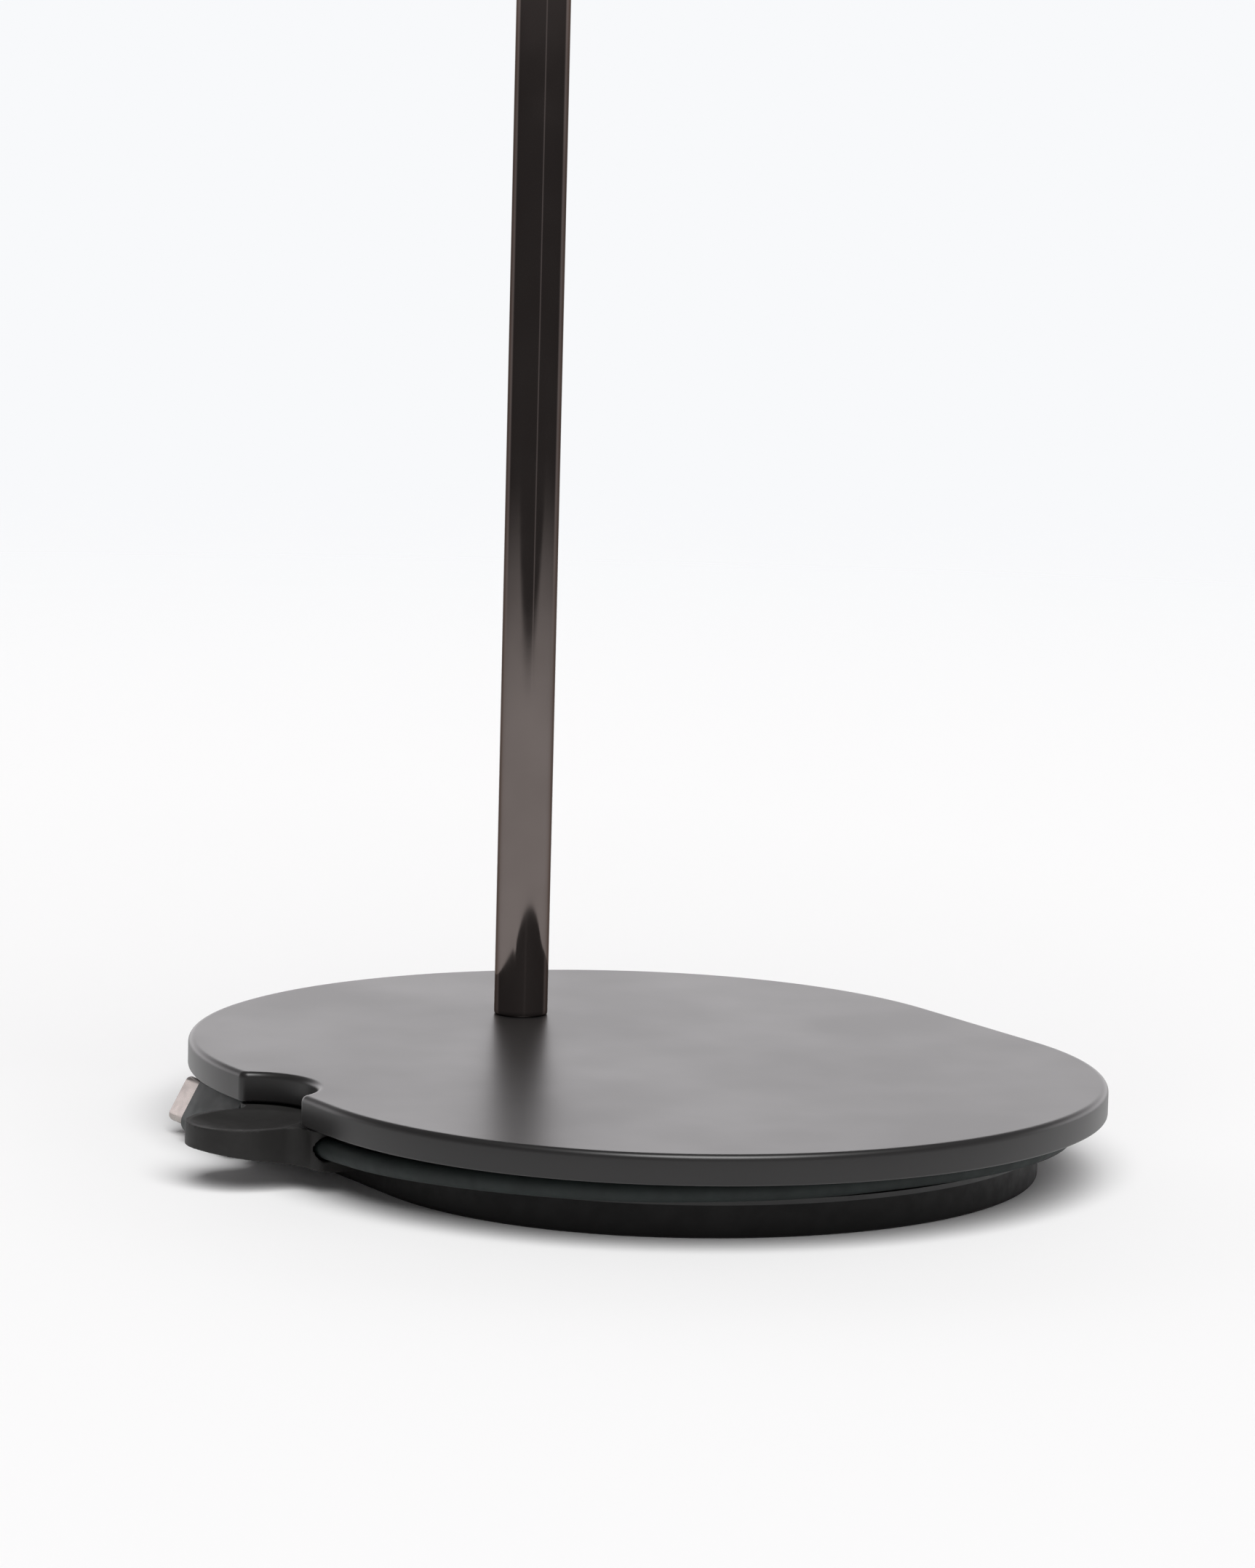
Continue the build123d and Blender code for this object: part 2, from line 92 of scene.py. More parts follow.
def add_node(tree, kind, settings=None, inputs=None):
    """Adds a node with its settings. An input is given a value, or an output of another node to link."""
    node = tree.nodes.new("ShaderNode" + kind)
    for name, value in (settings or {}).items():
        setattr(node, name, value)
    for name, value in (inputs or {}).items():
        if isinstance(value, bpy.types.NodeSocket):
            tree.links.new(value, node.inputs[name])
        else:
            node.inputs[name].default_value = value
    return node


def new_material(name):
    """A material with one Principled shader: returns the material, its nodes, and the shader."""
    material = bpy.data.materials.new(name)
    material.use_nodes = True
    return material, material.node_tree, material.node_tree.nodes["Principled BSDF"]


PATCH_LOW, PATCH_HIGH = 0.35, 0.65            # the part of a noise pattern that a slow variation spans


def grain(tree, shader, size, depth, strength=0.3, detail=3):
    """A fine moulded or sprayed texture: bumps of a size and depth in millimetres."""
    place = add_node(tree, "TexCoord").outputs["Object"]
    noise = add_node(tree, "TexNoise", {}, {"Vector": place, "Scale": 1 / (size * MM), "Detail": detail})
    bump = add_node(tree, "Bump", {}, {
        "Height": noise.outputs["Fac"], "Strength": strength, "Distance": depth * MM,
    })
    tree.links.new(bump.outputs["Normal"], shader.inputs["Normal"])
    return place


def mottle(tree, shader, place, socket, size, low, high, detail=2):
    """Slow variation of a number or a colour over the surface, from patches of a size in millimetres."""
    noise = add_node(tree, "TexNoise", {}, {"Vector": place, "Scale": 1 / (size * MM), "Detail": detail})
    if isinstance(low, list):
        ramp = add_node(tree, "ValToRGB", {}, {"Fac": noise.outputs["Fac"]})
        for element, position, colour in zip(ramp.color_ramp.elements, (PATCH_LOW, PATCH_HIGH), (low, high)):
            element.position, element.color = position, colour
        tree.links.new(ramp.outputs["Color"], shader.inputs[socket])
        return
    spread = add_node(tree, "MapRange", {}, {
        "Value": noise.outputs["Fac"], "From Min": PATCH_LOW, "From Max": PATCH_HIGH,
        "To Min": low, "To Max": high,
    })
    tree.links.new(spread.outputs["Result"], shader.inputs[socket])


# TPE, extruded round the wires: matt, a little uneven, with a faint cold tint.
lead_jacket, tree, shader = new_material("extruded_tpe")
shader.inputs["IOR"].default_value = 1.5
place = grain(tree, shader, 0.35, 0.02)
mottle(tree, shader, place, "Base Color", 4, srgb("#1c2221"), srgb("#212827"))
mottle(tree, shader, place, "Roughness", 2.5, 0.62, 0.7)
shader.inputs["Specular IOR Level"].default_value = 0.35


def on_oval(turn, inset):
    """The point of the outline, moved inwards, that faces a turn in degrees from +X."""
    out = Vector((cos(radians(turn)), sin(radians(turn))))
    if abs(out.x) < END_LEAN:
        return Vector((0, copysign(END_CENTRE, out.y))) + out * (END_RADIUS - inset)
    return Vector((copysign(CORNER_X, out.x), copysign(CORNER_Y, out.y))) + out * (CORNER_RADIUS - inset)


def coil_inset(turn):
    """How far inside the outline the coil lies at a turn, counted on from the tab at 180 degrees."""
    along = min(max((turn - 360) / 90, 0), 1)
    inset = OUTER_INSET + TURN_PITCH * (turn - 180) / 360 + DRAWN_IN * along * along * (3 - 2 * along)
    from_sag = (turn - 270 - SAG_TURN + 180) % 360 - 180
    if abs(from_sag) < SAG_HALF_TURN:
        sag = FIRST_SAG if turn < 360 else LATER_SAG
        inset += sag * cos(pi / 2 * from_sag / SAG_HALF_TURN) ** 2
    return inset


route = [
    (-66.2, 16.0, 6.2), (-67.2, -12.5, 7.6), (-66.2, -25.5, 7.8), (-62.2, -37.5, 8.1),
    (-56.0, -49.0, 8.4), (-47.0, -59.0, 8.45), (-37.0, -66.0, 8.45),
]
for turn in range(COIL_FIRST_TURN, COIL_LAST_TURN + 1, COIL_STEP):
    x, y = on_oval(turn, coil_inset(turn))
    if turn % 180:
        route.append((x, y, COIL_HEIGHT))
    else:  # a straight side has a point at each of its ends
        up = CORNER_Y if turn % 360 == 0 else -CORNER_Y
        route += [(x, -up, COIL_HEIGHT), (x, up, COIL_HEIGHT)]
route += [(4.0, 66.3, 8.45), (-6.0, 66.3, 8.5), (-14.7, 61.3, 8.4), (-19.7, 52.6, 7.7), (-19.7, 45.0, 7.7)]

line = bpy.data.curves.new("charging_lead", "CURVE")
line.dimensions = "3D"
spline = line.splines.new("NURBS")
spline.points.add(len(route) - 1)
for point, (x, y, z) in zip(spline.points, route):
    point.co = (x * MM, y * MM, z * MM, 1)
spline.order_u = 3
spline.use_endpoint_u = True
spline.use_smooth = True
line.resolution_u = 8
line.bevel_depth = LEAD_THICK / 2 * MM
line.bevel_resolution = 5
line.use_fill_caps = True
line.materials.append(lead_jacket)
lead = bpy.data.objects.new("charging_lead", line)
bpy.context.scene.collection.objects.link(lead)
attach(lead, "stand")
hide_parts("cable_lead", "cable_tail", "cable_winding")


# --- plugs ----------------------------------------------------------------------------------------
# A USB-C plug at each end of the lead: a soft moulded grip, a drawn steel shell and a contact board.
# The outer one lies on edge in the channel behind the tab, the inner one flat in the spool's pocket.
GRIP = (10.5, 18.0, 5.8)                      # width, length, thickness
GRIP_CORNER, GRIP_BACK_ROUND = 2.2, 0.8
CHAMFER_IN, CHAMFER_BACK = 1.1, 1.17          # the chamfer at the grip's front end,
CHAMFER_RIM = 1.0                             # and how far from the sides its outer points lie
SHELL = (8.3, 6.6, 2.5)
SHELL_WALL, SHELL_SUNK = 0.3, 0.4
SHELL_SIDE_ROUND = 1.22                       # nearly half the thickness
TINY = 0.01
OUTER_PLACE = Matrix.Translation((-0.0659, 0.0184, 0.00575)) @ Matrix.Rotation(radians(-60), 4, "Y")
INNER_PLACE = Matrix.Translation((-0.0197, 0.0410, 0.0077)) @ Matrix.Rotation(radians(180), 4, "Z")


def begin(name):
    """Names the primitive just added, puts its place in its mesh, and opens it for editing."""
    piece = bpy.context.object
    piece.name = piece.data.name = name
    bpy.ops.object.transform_apply(location=True, rotation=True, scale=True)
    bpy.ops.object.mode_set(mode="EDIT")
    return piece


def pick(piece, kind, test):
    """Selects the points, edges or faces whose middle and direction, or normal, pass a test."""
    bpy.ops.mesh.select_mode(type=kind)
    bpy.ops.mesh.select_all(action="DESELECT")
    shape = bmesh.from_edit_mesh(piece.data)
    if kind == "VERT":
        found = [v for v in shape.verts if test(v.co / MM)]
    elif kind == "EDGE":
        ends = [(e, *(v.co / MM for v in e.verts)) for e in shape.edges]
        found = [e for e, a, b in ends if test((a + b) / 2, (b - a).normalized())]
    else:
        found = [f for f in shape.faces if test(f.calc_center_median() / MM, f.normal)]
    for part in found:
        part.select_set(True)
    shape.select_flush_mode()
    bmesh.update_edit_mesh(piece.data)


def bevel(width, segments):
    """Rounds the selected edges; width is in millimetres."""
    bpy.ops.mesh.bevel(offset=width * MM, segments=segments, profile=0.5, clamp_overlap=False)


def extrude(x, y, z):
    """Extrudes the selection by a distance in millimetres."""
    bpy.ops.mesh.extrude_region_move(TRANSFORM_OT_translate={"value": (x * MM, y * MM, z * MM)})


def close_up(piece, material, angle=40):
    """Ends editing: normals outwards, smooth shading below an angle, and the finish."""
    bpy.ops.object.mode_set(mode="EDIT")
    bpy.ops.mesh.select_all(action="SELECT")
    bpy.ops.mesh.normals_make_consistent(inside=False)
    make_ready()
    piece.select_set(True)
    bpy.context.view_layer.objects.active = piece
    bpy.ops.object.shade_smooth_by_angle(angle=radians(angle))
    piece.data.materials.clear()
    piece.data.materials.append(material)


def make_ready():
    """Leaves edit mode and deselects everything, before a new primitive."""
    if bpy.context.object and bpy.context.object.mode == "EDIT":
        bpy.ops.object.mode_set(mode="OBJECT")
    bpy.ops.object.select_all(action="DESELECT")


def add_box(low, high):
    """Adds a box between two corners, in millimetres."""
    make_ready()
    middle = [(a + b) / 2 * MM for a, b in zip(low, high)]
    size = [(b - a) * MM for a, b in zip(low, high)]
    bpy.ops.mesh.primitive_cube_add(size=1, location=middle, scale=size)
    bpy.ops.object.transform_apply(location=True, rotation=True, scale=True)
    return bpy.context.object


# TPE, moulded over the plug in a fine-blasted mould: matt, with the lead's cold tint.
plug_moulding, tree, shader = new_material("overmoulded_tpe")
shader.inputs["IOR"].default_value = 1.5
place = grain(tree, shader, 0.25, 0.015, 0.25)
mottle(tree, shader, place, "Base Color", 5, srgb("#1a201f"), srgb("#202726"))
mottle(tree, shader, place, "Roughness", 3, 0.42, 0.52)

# Stainless steel, deep drawn and tumbled: a warm satin metal with fine handling marks.
plug_steel, tree, shader = new_material("drawn_steel")
shader.inputs["Metallic"].default_value = 1
place = grain(tree, shader, 0.5, 0.004, 0.2)
mottle(tree, shader, place, "Base Color", 3, srgb("#9c9490"), srgb("#aba39e"))
mottle(tree, shader, place, "Roughness", 1.5, 0.24, 0.34)

# LCP, injection moulded: a dark, slightly glossy engineering plastic.
plug_plastic, tree, shader = new_material("moulded_lcp")
place = grain(tree, shader, 0.3, 0.01, 0.2)
mottle(tree, shader, place, "Base Color", 2, srgb("#1b1b1b"), srgb("#222221"))
mottle(tree, shader, place, "Roughness", 2, 0.35, 0.45)

add_box((-GRIP[0] / 2, 0, -GRIP[2] / 2), (GRIP[0] / 2, GRIP[1], GRIP[2] / 2))
grip = begin("plug_grip")
pick(grip, "EDGE", lambda p, way: abs(way.y) > 0.9)
bevel(GRIP_CORNER, 7)
pick(grip, "FACE", lambda p, n: n.y > 0.9)  # the front end narrows towards the shell in a flat chamfer
bpy.ops.mesh.inset(thickness=CHAMFER_IN * MM)
pick(grip, "VERT", lambda p: p.y > GRIP[1] - TINY and (
    abs(p.x) > GRIP[0] / 2 - CHAMFER_RIM or abs(p.z) > GRIP[2] / 2 - CHAMFER_RIM
))
bpy.ops.transform.translate(value=(0, -CHAMFER_BACK * MM, 0))
pick(grip, "FACE", lambda p, n: n.y < -0.9)
bpy.ops.mesh.region_to_loop()
bevel(GRIP_BACK_ROUND, 5)
close_up(grip, plug_moulding, 35)

add_box(
    (-SHELL[0] / 2, GRIP[1] - SHELL_SUNK, -SHELL[2] / 2), (SHELL[0] / 2, GRIP[1] + SHELL[1], SHELL[2] / 2)
)
shell = begin("plug_shell_steel")
pick(shell, "EDGE", lambda p, way: abs(way.y) > 0.9)
bevel(SHELL_SIDE_ROUND, 8)
pick(shell, "FACE", lambda p, n: n.y > 0.9)
bpy.ops.mesh.inset(thickness=SHELL_WALL * MM)
extrude(0, SHELL_SUNK - SHELL[1], 0)
close_up(shell, plug_steel, 40)


def set_in(model, name, place, node):
    """Copies a finished model, with a mesh of its own, to a place, in the stead of a CAD node."""
    piece = model.copy()
    piece.data = model.data.copy()
    piece.name = piece.data.name = name
    piece.data.transform(place)
    bpy.context.scene.collection.objects.link(piece)
    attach(piece, "stand")
    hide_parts(node)
    return piece


for which, place in (("", OUTER_PLACE), ("inner_", INNER_PLACE)):
    set_in(grip, which + "plug_grip_moulded", place, which + "plug_body")
    set_in(shell, which + "plug_shell_drawn", place, which + "plug_shell")
    for node, material in (("plug_relief", plug_moulding), ("plug_contacts", plug_plastic)):
        solid = nodes[which + node]
        solid.data.materials.clear()
        solid.data.materials.append(material)
for model in (grip, shell):
    bpy.data.objects.remove(model)


# --- floor and light ------------------------------------------------------------------------------
# A pale studio table under a round soft lamp, with a white backdrop low behind it and a dim room.
FLOOR_COLOUR, BACKDROP_COLOUR = "#f1f1f1", "#f8f9fb"
FLOOR_RADIUS, FLOOR_FADE = 1.3, 0.4
FLOOR_FRONT, FLOOR_FRONT_FADE = 0.74, 0.56    # the table ends this far in front of the stand
LAMP_WAY = Vector((-0.08, -0.36, 0.94)).normalized()
LAMP_FAR, LAMP_RADIUS, LAMP_POWER = 1.2, 0.36, 13.0
ROOM_LIGHT, WALL_LIGHT, TABLE_LIGHT, BACKDROP_LIGHT = 0.115, 0.45, 0.7, 2.12
TABLE_LAMP_WAY, TABLE_LAMP_POWER = Vector((-0.16, -0.52, 0.88)).normalized(), 3.2
TABLE_LAMP_SPREAD = radians(60)
STRIP_TURN, STRIP_LIGHT = radians(16), 0.3    # a narrow bright gap to the right of the camera
# Where each part of the room fades, as parts of a direction one unit long.
SCREEN_SIDE, SCREEN_TOP, HORIZON = (0.30, 0.55), (0.25, 0.46), (-0.02, 0.04)
STRIP_EDGE, STRIP_FRONT = (0.02, 0.06), -0.3
SMOOTH, TIMES = {"interpolation_type": "SMOOTHSTEP"}, {"operation": "MULTIPLY"}

bpy.ops.mesh.primitive_circle_add(vertices=96, radius=FLOOR_RADIUS, fill_type="NGON")
floor = bpy.context.object
floor.name = "table"
painted, tree, shader = new_material("matt_white_table")
shader.inputs["Base Color"].default_value = srgb(FLOOR_COLOUR)
shader.inputs["Roughness"].default_value = 0.9
shader.inputs["Specular IOR Level"].default_value = 0.1
place = add_node(tree, "TexCoord").outputs["Object"]
far = add_node(tree, "VectorMath", {"operation": "LENGTH"}, {0: place})
rim = add_node(tree, "MapRange", SMOOTH, {
    "Value": far.outputs["Value"], "From Min": FLOOR_FADE, "From Max": FLOOR_RADIUS, "To Min": 1, "To Max": 0,
})
front = add_node(tree, "VectorMath", {"operation": "DOT_PRODUCT"}, {0: place, 1: -ahead})
edge = add_node(tree, "MapRange", SMOOTH, {
    "Value": front.outputs["Value"], "From Min": FLOOR_FRONT_FADE, "From Max": FLOOR_FRONT,
    "To Min": 1, "To Max": 0,
})
solid = add_node(tree, "Math", TIMES, {0: rim.outputs["Result"], 1: edge.outputs["Result"]})
tree.links.new(solid.outputs["Value"], shader.inputs["Alpha"])
floor.data.materials.append(painted)

world = bpy.data.worlds.new("studio")
world.use_nodes = True
bpy.context.scene.world = world
tree = world.node_tree
tree.nodes.clear()
way = add_node(tree, "TexCoord").outputs["Generated"]
height = add_node(tree, "SeparateXYZ", {}, {0: way}).outputs["Z"]
behind = add_node(tree, "VectorMath", {"operation": "DOT_PRODUCT"}, {0: way, 1: ahead})
side_fade = add_node(tree, "MapRange", SMOOTH, {
    "Value": behind.outputs["Value"], "From Min": SCREEN_SIDE[0], "From Max": SCREEN_SIDE[1],
})
top_fade = add_node(tree, "MapRange", SMOOTH, {
    "Value": height, "From Min": SCREEN_TOP[0], "From Max": SCREEN_TOP[1], "To Min": 1, "To Max": 0,
})
screen = add_node(tree, "Math", TIMES, {0: side_fade.outputs["Result"], 1: top_fade.outputs["Result"]})
rise = add_node(tree, "MapRange", SMOOTH, {
    "Value": height, "From Min": HORIZON[0], "From Max": HORIZON[1],
    "To Min": 0, "To Max": WALL_LIGHT - ROOM_LIGHT,
})
low_wall = add_node(tree, "Math", TIMES, {0: rise.outputs["Result"], 1: top_fade.outputs["Result"]})
wall = add_node(tree, "Math", {"operation": "ADD"}, {0: low_wall.outputs["Value"], 1: ROOM_LIGHT})
white = add_node(tree, "MapRange", SMOOTH, {
    "Value": height, "From Min": HORIZON[0], "From Max": HORIZON[1],
    "To Min": TABLE_LIGHT, "To Max": BACKDROP_LIGHT,
})
room = add_node(tree, "MapRange", {}, {
    "Value": screen.outputs["Value"], "To Min": wall.outputs["Value"], "To Max": white.outputs["Result"],
})
strip_side = Vector((ahead.y, -ahead.x, 0)) * cos(STRIP_TURN) + ahead * sin(STRIP_TURN)
off_strip = add_node(tree, "VectorMath", {"operation": "DOT_PRODUCT"}, {0: way, 1: strip_side})
off_strip = add_node(tree, "Math", {"operation": "ABSOLUTE"}, {0: off_strip.outputs["Value"]})
strip = add_node(tree, "MapRange", SMOOTH, {
    "Value": off_strip.outputs["Value"], "From Min": STRIP_EDGE[0], "From Max": STRIP_EDGE[1],
    "To Min": STRIP_LIGHT, "To Max": 0,
})
in_front = add_node(tree, "Math", {"operation": "LESS_THAN"}, {0: behind.outputs["Value"], 1: STRIP_FRONT})
strip = add_node(tree, "Math", TIMES, {0: strip.outputs["Result"], 1: in_front.outputs["Value"]})
room = add_node(tree, "Math", {"operation": "ADD"}, {0: room.outputs["Result"], 1: strip.outputs["Value"]})
seen = add_node(tree, "LightPath").outputs["Is Camera Ray"]
room_light = add_node(tree, "Background", {}, {"Color": srgb("#fffcfe"), "Strength": room.outputs["Value"]})
backdrop = add_node(tree, "Background", {}, {"Color": srgb(BACKDROP_COLOUR)})
mixed = add_node(tree, "MixShader", {}, {0: seen, 1: room_light.outputs[0], 2: backdrop.outputs[0]})
add_node(tree, "OutputWorld", {}, {"Surface": mixed.outputs[0]})

bpy.ops.object.light_add(type="AREA", location=LAMP_WAY * LAMP_FAR)
lamp = bpy.context.object
lamp.data.shape = "DISK"
lamp.data.size = 2 * LAMP_RADIUS
lamp.data.energy = LAMP_POWER
lamp.rotation_mode = "QUATERNION"
lamp.rotation_quaternion = (-LAMP_WAY).to_track_quat("-Z", "Y")

# A second lamp lights only the table, as a table is lit for a white ground, and casts the soft shadow.
bpy.ops.object.light_add(type="SUN", location=(0, 0, 1))
table_lamp = bpy.context.object
table_lamp.data.energy = TABLE_LAMP_POWER
table_lamp.data.angle = TABLE_LAMP_SPREAD
table_lamp.rotation_mode = "QUATERNION"
table_lamp.rotation_quaternion = (-TABLE_LAMP_WAY).to_track_quat("-Z", "Y")
table_only = bpy.data.collections.new("table_only")
table_only.objects.link(floor)
table_lamp.light_linking.receiver_collection = table_only
all_but_table = bpy.data.collections.new("all_but_table")
all_but_table.objects.link(floor)
all_but_table.collection_objects[0].light_linking.link_state = "EXCLUDE"
lamp.light_linking.receiver_collection = all_but_table


# --- base plate -----------------------------------------------------------------------------------
# A 5 mm steel plate, laser cut with a finger scoop in its left edge, its rim rounded over, and powder
# coated black. It carries the pole and the spool, and its weight keeps the stand from tipping.
PLATE_UNDER, PLATE_TOP = 11, 16
PLATE_RIM, PLATE_LOWER_RIM = 1.1, 0.4
SCOOP_PLACE, SCOOP_RADIUS = (-73.9, 2.7), 11
SCOOP_FRONT_ROUND, SCOOP_BACK_ROUND = 1.8, 1.8
ARC_STEP = 1.5                                # degrees between the points of an outline's arcs
FLAT_INSET = 0.3                              # a ring inside each rounded rim, which keeps the face flat
BROAD_FACE = 1e-3                             # square metres


def arc(centre, radius, start, end):
    """Points along an arc about a centre, from one angle to another in degrees."""
    count = round(abs(end - start) / ARC_STEP)
    turns = [radians(start + (end - start) * i / count) for i in range(count + 1)]
    return [Vector((centre[0] + radius * cos(t), centre[1] + radius * sin(t))) for t in turns]


def begin_block(name, outline, low, high):
    """A circle whose points are moved to an outline, extruded between two heights and open for editing."""
    make_ready()
    bpy.ops.mesh.primitive_circle_add(vertices=len(outline), radius=MM, fill_type="NGON")
    block = begin(name)
    shape = bmesh.from_edit_mesh(block.data)
    for vertex, (x, y) in zip(shape.verts, outline):
        vertex.co = (x * MM, y * MM, low * MM)
    bmesh.update_edit_mesh(block.data)
    bpy.ops.mesh.select_all(action="SELECT")
    extrude(0, 0, high - low)
    bpy.ops.mesh.select_all(action="SELECT")
    bpy.ops.mesh.normals_make_consistent(inside=False)
    return block


def combine(piece, other, operation="DIFFERENCE"):
    """Cuts another shape out of a piece, or joins it on, and opens the piece for editing again."""
    make_ready()
    bpy.context.view_layer.objects.active = piece
    step = piece.modifiers.new("combine", "BOOLEAN")
    step.operation, step.object, step.solver = operation, other, "EXACT"
    bpy.ops.object.modifier_apply(modifier=step.name)
    bpy.data.objects.remove(other)
    piece.select_set(True)
    bpy.ops.object.mode_set(mode="EDIT")


def add_rod(start, end, radius, steps=96):
    """Adds a round rod between two points, in millimetres, as a shape to cut with."""
    make_ready()
    start, end = Vector(start), Vector(end)
    bpy.ops.mesh.primitive_cylinder_add(
        vertices=steps, radius=radius * MM, depth=(end - start).length * MM, location=(start + end) / 2 * MM,
        rotation=(end - start).to_track_quat("Z", "Y").to_euler(),
    )
    bpy.ops.object.transform_apply(location=True, rotation=True, scale=True)
    return bpy.context.object


# Polyester powder coat, baked: satin black, very slightly uneven, with faint smudges from handling.
powder_coat, tree, shader = new_material("satin_powder_coat")
shader.inputs["IOR"].default_value = 1.5
place = grain(tree, shader, 0.5, 0.008, 0.06, 2)
mottle(tree, shader, place, "Base Color", 30, srgb("#1f1e1e"), srgb("#222121"))
mottle(tree, shader, place, "Roughness", 26, 0.345, 0.37, 4)


def plain_outline(inset):
    """The plate's outline moved inwards: from the left side round the front, the right and the back."""
    half_width = CORNER_X + CORNER_RADIUS - inset
    points = [Vector((-half_width, -CORNER_Y))]
    for step in range(1, round(360 / ARC_STEP)):
        turn = 180 + step * ARC_STEP
        if turn == 360:                       # the straight right side
            points += [Vector((half_width, -CORNER_Y)), Vector((half_width, CORNER_Y))]
        else:
            points.append(on_oval(turn, inset))
    return points + [Vector((-half_width, CORNER_Y))]


half_width = CORNER_X + CORNER_RADIUS
outline = plain_outline(0)
mouth = {}
for up, radius in ((1, SCOOP_BACK_ROUND), (-1, SCOOP_FRONT_ROUND)):
    off_x, reach = radius - half_width - SCOOP_PLACE[0], SCOOP_RADIUS + radius
    off_y = up * sqrt(reach ** 2 - off_x ** 2)
    corner = Vector(SCOOP_PLACE) + Vector((off_x, off_y))
    mouth[up] = (corner, radius, degrees(atan2(off_y, off_x)))
centre, radius, lean = mouth[1]
outline += arc(centre, radius, 180, 180 + lean)
outline += arc(SCOOP_PLACE, SCOOP_RADIUS, lean, mouth[-1][2])[1:-1]
centre, radius, lean = mouth[-1]
outline += arc(centre, radius, 180 + lean, 180)
plate = begin_block("base_plate_coated", outline, PLATE_UNDER, PLATE_TOP)
for side, radius, steps in ((1, PLATE_RIM, 7), (-1, PLATE_LOWER_RIM, 4)):
    pick(plate, "FACE", lambda p, n: side * n.z > 0.9)
    bpy.ops.mesh.region_to_loop()
    bevel(radius, steps)
    pick(plate, "FACE", lambda p, n: side * n.z > 0.999)
    bpy.ops.mesh.inset(thickness=FLAT_INSET * MM)
close_up(plate, powder_coat, 30)
for face in plate.data.polygons:              # the two broad faces are flat
    face.use_smooth = face.area < BROAD_FACE
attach(plate, "stand")
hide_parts("base_plate")


# --- foot pad and spool ---------------------------------------------------------------------------
# A soft silicone pad that the stand rests on, and the moulded spool that the lead winds round, both
# screwed to the plate from below.
FOOT_INSET, FOOT_TOP, FOOT_ROUND = 11.5, 5.8, 0.8
STOWED_POCKET = ((-26.0, 15.4, 4.4), (-13.4, 61.0, 8.0))
KEY_SLOT = ((-62.0, -9.15, 3.45), (-54.35, 12.75, 8.0))

# Silicone rubber, compression moulded: matt, near black, with a little dust in its grain.
foot_silicone, tree, shader = new_material("moulded_silicone")
shader.inputs["IOR"].default_value = 1.41
place = grain(tree, shader, 0.3, 0.03, 0.4)
shader.inputs["Specular IOR Level"].default_value = 0.3
mottle(tree, shader, place, "Base Color", 6, srgb("#0e0d0d"), srgb("#121111"))
mottle(tree, shader, place, "Roughness", 3, 0.5, 0.62)

# ABS, injection moulded with a spark-eroded texture.
spool_abs, tree, shader = new_material("moulded_abs")
shader.inputs["IOR"].default_value = 1.53
place = grain(tree, shader, 0.4, 0.03, 0.35)
mottle(tree, shader, place, "Base Color", 8, srgb("#171717"), srgb("#1b1b1b"))
mottle(tree, shader, place, "Roughness", 4, 0.4, 0.5)

# Steel, zinc plated and passivated: a cool grey metal with a soft cloudy shine.
zinc_steel, tree, shader = new_material("zinc_plated_steel")
shader.inputs["Metallic"].default_value = 1
place = grain(tree, shader, 0.4, 0.006, 0.2)
mottle(tree, shader, place, "Base Color", 2.5, srgb("#a9acae"), srgb("#c3c5c4"))
mottle(tree, shader, place, "Roughness", 1.5, 0.28, 0.4)


def coat(material, *names):
    """Gives CAD nodes their finish."""
    for name in names:
        nodes[name].data.materials.clear()
        nodes[name].data.materials.append(material)


# The pad's underside is rounded over, and a pocket in it takes the inner plug. The root of the tab is
# keyed into a slot at its left.
foot = begin_block("foot_pad_moulded", plain_outline(FOOT_INSET), 0, FOOT_TOP)
for pocket in (STOWED_POCKET, KEY_SLOT):
    combine(foot, add_box(*pocket))
pick(foot, "FACE", lambda p, n: n.z < -0.9 and p.z < TINY)
bpy.ops.mesh.region_to_loop()
bevel(FOOT_ROUND, 5)
pick(foot, "FACE", lambda p, n: n.z < -0.999 and p.z < TINY)
bpy.ops.mesh.inset(thickness=FLAT_INSET * MM)
close_up(foot, foot_silicone, 40)
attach(foot, "stand")
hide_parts("foot_pad")
coat(spool_abs, "spool_flange", "spool_core")
coat(zinc_steel, "spool_screws")


# --- cable tab ------------------------------------------------------------------------------------
# One silicone moulding: a root block wedged in the channel, which the lead runs through, and a tongue
# with a thumb dish that reaches out under the scoop.
TIP_X, ROOT_X, ROOT_INNER_X = -85.3, -69.6, -62.0
ROOT_FRONT, ROOT_BACK = -12.2, 15.8
TAB_LOW, TAB_TOP = 3.5, 10.6
TONGUE_Y, TONGUE_HALF = 1.6, 8.85
FLARE_ROUND, ROOT_ROUND = 3.0, 1.9
UNDER_TIP, UNDER_SLOPE = 6.8, 0.172           # height under the tip, and how it falls to the root
BORE_FRONT, BORE_BACK, BORE_RADIUS = Vector((-67.2, -12.2, 7.6)), Vector((-66.2, 15.8, 6.2)), 2.1
DISH_X, DISH_HALF_LENGTH, DISH_HALF_WIDTH = -74.8, 9.8, 7.9
DISH_DEEP, DISH_RISE = 1.5, 2.4
TAB_VOXEL, TAB_SMOOTHING = 0.2, 3
PAST = 5                                      # how far a shape to cut with stands past the piece

